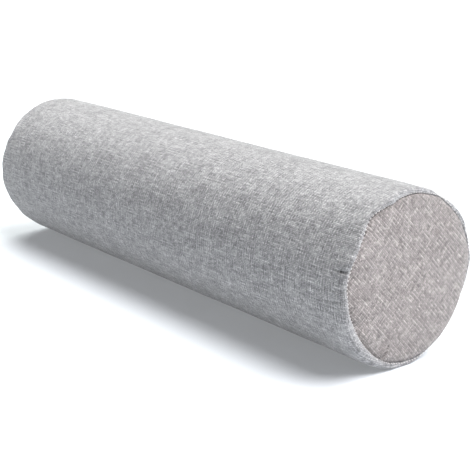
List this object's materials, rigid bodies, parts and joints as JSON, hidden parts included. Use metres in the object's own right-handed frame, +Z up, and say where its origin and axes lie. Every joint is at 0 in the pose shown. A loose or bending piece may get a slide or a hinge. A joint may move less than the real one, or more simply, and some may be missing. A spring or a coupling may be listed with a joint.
{
  "type": "cervical pillow",
  "caption": "Firm round roll pillow: a filled tube of heathered cloth with a round panel sewn into each end.",
  "frame": {"origin": "on the floor, under the middle of the roll's length", "axes": "+X along the roll towards the end whose rim stands out further at one side, +Z up; the roll lies on its side"},
  "size_m": [0.4606, 0.1214, 0.1195],
  "materials": {
    "tube_cloth": "matte heathered plain weave",
    "panel_cloth": "matte heathered plain weave"
  },
  "bodies": {
    "root": {"roll_body": "tube_cloth", "end_panel_near": "panel_cloth", "end_panel_far": "panel_cloth"}
  },
  "joints": []
}
